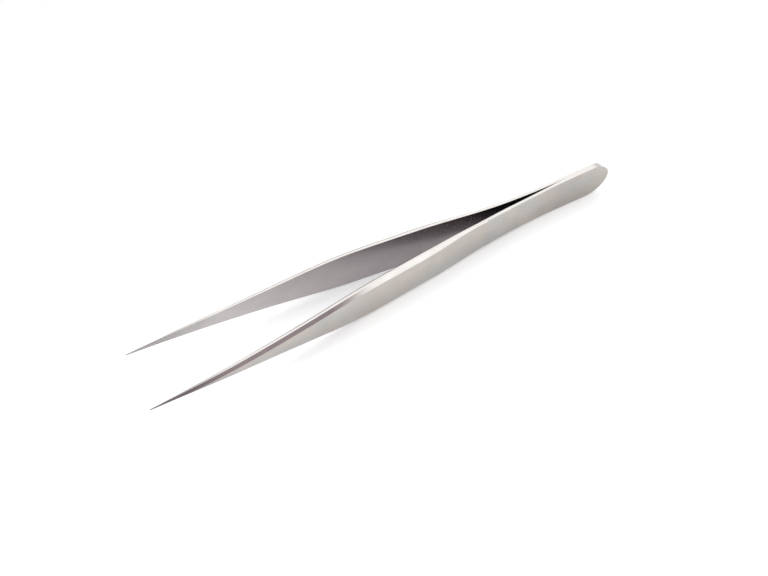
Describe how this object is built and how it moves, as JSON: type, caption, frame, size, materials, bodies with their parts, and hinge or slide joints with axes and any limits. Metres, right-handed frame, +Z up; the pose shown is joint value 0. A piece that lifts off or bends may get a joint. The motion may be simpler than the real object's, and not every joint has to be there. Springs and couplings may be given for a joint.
{
  "type": "fine-point tweezers",
  "caption": "Slim steel watchmaker's tweezers with needle points, two sprung arms welded face to face at the tail, lying on the arms' lower edges.",
  "frame": {"origin": "on the supporting surface under the lower edges of the arms, midway between the points and the tail end", "axes": "+X from the points to the tail end, +Y from the left arm to the right arm, +Z up, square to the supporting surface"},
  "size_m": [0.12, 0.0152, 0.0096],
  "materials": {
    "steel": "satin"
  },
  "bodies": {
    "root": {"left_arm": "steel", "right_arm": "steel"}
  },
  "joints": []
}
